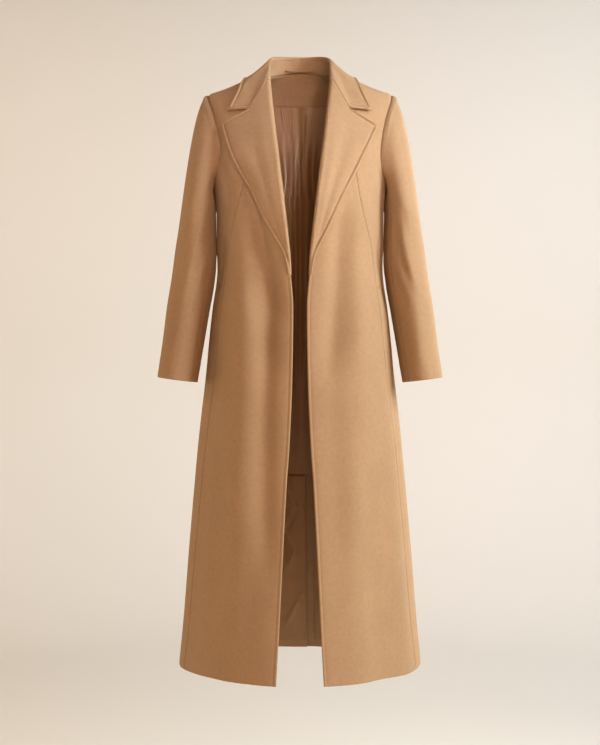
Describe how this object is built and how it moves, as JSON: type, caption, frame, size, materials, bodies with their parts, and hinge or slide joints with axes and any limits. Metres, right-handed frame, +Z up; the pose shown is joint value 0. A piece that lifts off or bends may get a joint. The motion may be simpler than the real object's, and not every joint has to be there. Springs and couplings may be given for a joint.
{
  "type": "long coat, filled out with no wearer",
  "caption": "Long open-front wool coat with notched lapels and collar, princess seams, two-piece sleeves and a lined back with a vent, holding a worn shape",
  "frame": {"origin": "midway between the shoulders, at the height of the shoulder points, where a wearer's shoulders hold the coat up", "axes": "+Z up, -Y the way the coat faces, +X the wearer's left"},
  "size_m": [0.5904, 0.3451, 1.2911],
  "materials": {
    "coat_wool": "camel wool coating, short raised nap, matt",
    "lining_satin": "brown lining satin, soft sheen"
  },
  "bodies": {
    "root": {"front_left": "coat_wool", "side_left": "coat_wool", "back_left": "coat_wool", "lapel_left": "coat_wool", "sleeve_top_left": "coat_wool", "sleeve_under_left": "coat_wool", "front_right": "coat_wool", "side_right": "coat_wool", "back_right": "coat_wool", "lapel_right": "coat_wool", "sleeve_top_right": "coat_wool", "sleeve_under_right": "coat_wool", "collar_stand": "coat_wool", "collar": "coat_wool", "back_neck_facing": "coat_wool", "hanger_loop": "coat_wool", "lining_back": "lining_satin", "lining_skirt_right": "lining_satin", "lining_skirt_left": "lining_satin"}
  },
  "joints": []
}
